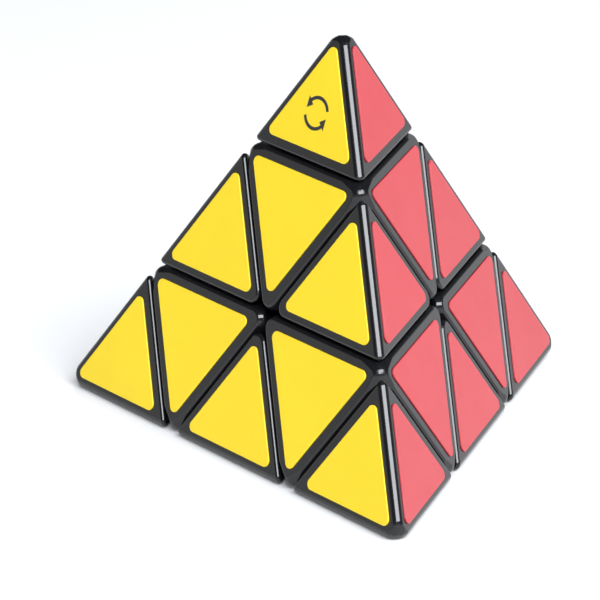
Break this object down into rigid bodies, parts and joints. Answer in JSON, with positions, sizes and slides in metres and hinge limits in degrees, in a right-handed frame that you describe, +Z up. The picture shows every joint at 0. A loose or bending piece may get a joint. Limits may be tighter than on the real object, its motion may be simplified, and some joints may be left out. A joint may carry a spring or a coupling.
{
  "type": "pyramid twisty puzzle",
  "caption": "Tetrahedral twisty puzzle: triangular coloured stickers on black pieces, with turning tips and corner layers sprung onto an inner core.",
  "frame": {"origin": "centre of the core, where the four turning axes cross; it is also the middle of the tetrahedron", "axes": "+Z up through the top tip, with the bottom face level; -Y towards the front tip; +X towards the right tip"},
  "size_m": [0.0978, 0.0853, 0.0801],
  "materials": {
    "black_plastic": "glossy moulded black ABS",
    "foot_plastic": "smooth moulded black ABS",
    "core_plastic": "glossy moulded black nylon",
    "steel": "zinc-plated steel",
    "green_vinyl": "smooth green vinyl sticker",
    "blue_vinyl": "smooth blue vinyl sticker",
    "yellow_vinyl": "smooth yellow vinyl sticker",
    "red_vinyl": "smooth red vinyl sticker"
  },
  "bodies": {
    "core_assembly": {"core": "core_plastic", "axle_screws": "steel", "washers": "steel", "springs": "steel"},
    "axial_top_unit": {"axial_top": "black_plastic", "sticker_blue_axial_top": "blue_vinyl", "sticker_yellow_axial_top": "yellow_vinyl", "sticker_red_axial_top": "red_vinyl"},
    "tip_top_unit": {"tip_top": "black_plastic", "sticker_blue_tip_top": "blue_vinyl", "sticker_yellow_tip_top": "yellow_vinyl", "sticker_red_tip_top": "red_vinyl"},
    "axial_front_unit": {"axial_front": "black_plastic", "sticker_green_axial_front": "green_vinyl", "sticker_yellow_axial_front": "yellow_vinyl", "sticker_red_axial_front": "red_vinyl"},
    "tip_front_unit": {"tip_front": "black_plastic", "sticker_green_tip_front": "green_vinyl", "sticker_yellow_tip_front": "yellow_vinyl", "sticker_red_tip_front": "red_vinyl"},
    "axial_right_unit": {"axial_right": "black_plastic", "sticker_green_axial_right": "green_vinyl", "sticker_blue_axial_right": "blue_vinyl", "sticker_red_axial_right": "red_vinyl"},
    "tip_right_unit": {"tip_right": "black_plastic", "sticker_green_tip_right": "green_vinyl", "sticker_blue_tip_right": "blue_vinyl", "sticker_red_tip_right": "red_vinyl"},
    "axial_left_unit": {"axial_left": "black_plastic", "sticker_green_axial_left": "green_vinyl", "sticker_blue_axial_left": "blue_vinyl", "sticker_yellow_axial_left": "yellow_vinyl"},
    "tip_left_unit": {"tip_left": "black_plastic", "sticker_green_tip_left": "green_vinyl", "sticker_blue_tip_left": "blue_vinyl", "sticker_yellow_tip_left": "yellow_vinyl"},
    "edge_top_front_unit": {"edge_top_front": "black_plastic", "edge_foot_top_front": "foot_plastic", "sticker_yellow_edge_top_front": "yellow_vinyl", "sticker_red_edge_top_front": "red_vinyl"},
    "edge_top_right_unit": {"edge_top_right": "black_plastic", "edge_foot_top_right": "foot_plastic", "sticker_blue_edge_top_right": "blue_vinyl", "sticker_red_edge_top_right": "red_vinyl"},
    "edge_top_left_unit": {"edge_top_left": "black_plastic", "edge_foot_top_left": "foot_plastic", "sticker_blue_edge_top_left": "blue_vinyl", "sticker_yellow_edge_top_left": "yellow_vinyl"},
    "edge_front_right_unit": {"edge_front_right": "black_plastic", "edge_foot_front_right": "foot_plastic", "sticker_green_edge_front_right": "green_vinyl", "sticker_red_edge_front_right": "red_vinyl"},
    "edge_right_left_unit": {"edge_right_left": "black_plastic", "edge_foot_right_left": "foot_plastic", "sticker_green_edge_right_left": "green_vinyl", "sticker_blue_edge_right_left": "blue_vinyl"},
    "edge_front_left_unit": {"edge_front_left": "black_plastic", "edge_foot_front_left": "foot_plastic", "sticker_green_edge_front_left": "green_vinyl", "sticker_yellow_edge_front_left": "yellow_vinyl"}
  },
  "joints": [
    {"name": "layer_top_turn", "type": "hinge", "parent": "core_assembly", "child": "axial_top_unit", "pos_m": [0, 0, 0], "axis": [0, 0, 1], "range_deg": [-240, 120]},
    {"name": "layer_front_turn", "type": "hinge", "parent": "core_assembly", "child": "axial_front_unit", "pos_m": [0, 0, 0], "axis": [0, -0.9428, -0.3333], "range_deg": [-240, 120]},
    {"name": "layer_right_turn", "type": "hinge", "parent": "core_assembly", "child": "axial_right_unit", "pos_m": [0, 0, 0], "axis": [0.8165, 0.4714, -0.3333], "range_deg": [-240, 120]},
    {"name": "layer_left_turn", "type": "hinge", "parent": "core_assembly", "child": "axial_left_unit", "pos_m": [0, 0, 0], "axis": [-0.8165, 0.4714, -0.3333], "range_deg": [-240, 120]},
    {"name": "tip_top_turn", "type": "hinge", "parent": "axial_top_unit", "child": "tip_top_unit", "pos_m": [0, 0, 0], "axis": [0, 0, 1], "continuous": true},
    {"name": "tip_front_turn", "type": "hinge", "parent": "axial_front_unit", "child": "tip_front_unit", "pos_m": [0, 0, 0], "axis": [0, -0.9428, -0.3333], "continuous": true},
    {"name": "tip_right_turn", "type": "hinge", "parent": "axial_right_unit", "child": "tip_right_unit", "pos_m": [0, 0, 0], "axis": [0.8165, 0.4714, -0.3333], "continuous": true},
    {"name": "tip_left_turn", "type": "hinge", "parent": "axial_left_unit", "child": "tip_left_unit", "pos_m": [0, 0, 0], "axis": [-0.8165, 0.4714, -0.3333], "continuous": true},
    {"name": "edge_top_front_turn", "type": "hinge", "parent": "axial_top_unit", "child": "edge_top_front_unit", "pos_m": [0, 0, 0], "axis": [0, -0.9428, -0.3333], "range_deg": [-240, 120]},
    {"name": "edge_top_right_turn", "type": "hinge", "parent": "axial_top_unit", "child": "edge_top_right_unit", "pos_m": [0, 0, 0], "axis": [0.8165, 0.4714, -0.3333], "range_deg": [-240, 120]},
    {"name": "edge_top_left_turn", "type": "hinge", "parent": "axial_top_unit", "child": "edge_top_left_unit", "pos_m": [0, 0, 0], "axis": [-0.8165, 0.4714, -0.3333], "range_deg": [-240, 120]},
    {"name": "edge_front_right_turn", "type": "hinge", "parent": "axial_front_unit", "child": "edge_front_right_unit", "pos_m": [0, 0, 0], "axis": [0.8165, 0.4714, -0.3333], "range_deg": [-240, 120]},
    {"name": "edge_right_left_turn", "type": "hinge", "parent": "axial_right_unit", "child": "edge_right_left_unit", "pos_m": [0, 0, 0], "axis": [-0.8165, 0.4714, -0.3333], "range_deg": [-240, 120]},
    {"name": "edge_front_left_turn", "type": "hinge", "parent": "axial_left_unit", "child": "edge_front_left_unit", "pos_m": [0, 0, 0], "axis": [0, -0.9428, -0.3333], "range_deg": [-240, 120]}
  ],
  "couplings": [
    {"joint": "edge_top_front_turn", "follows": "layer_front_turn", "ratio": 1},
    {"joint": "edge_top_right_turn", "follows": "layer_right_turn", "ratio": 1},
    {"joint": "edge_top_left_turn", "follows": "layer_left_turn", "ratio": 1},
    {"joint": "edge_front_right_turn", "follows": "layer_right_turn", "ratio": 1},
    {"joint": "edge_right_left_turn", "follows": "layer_left_turn", "ratio": 1},
    {"joint": "edge_front_left_turn", "follows": "layer_front_turn", "ratio": 1}
  ]
}
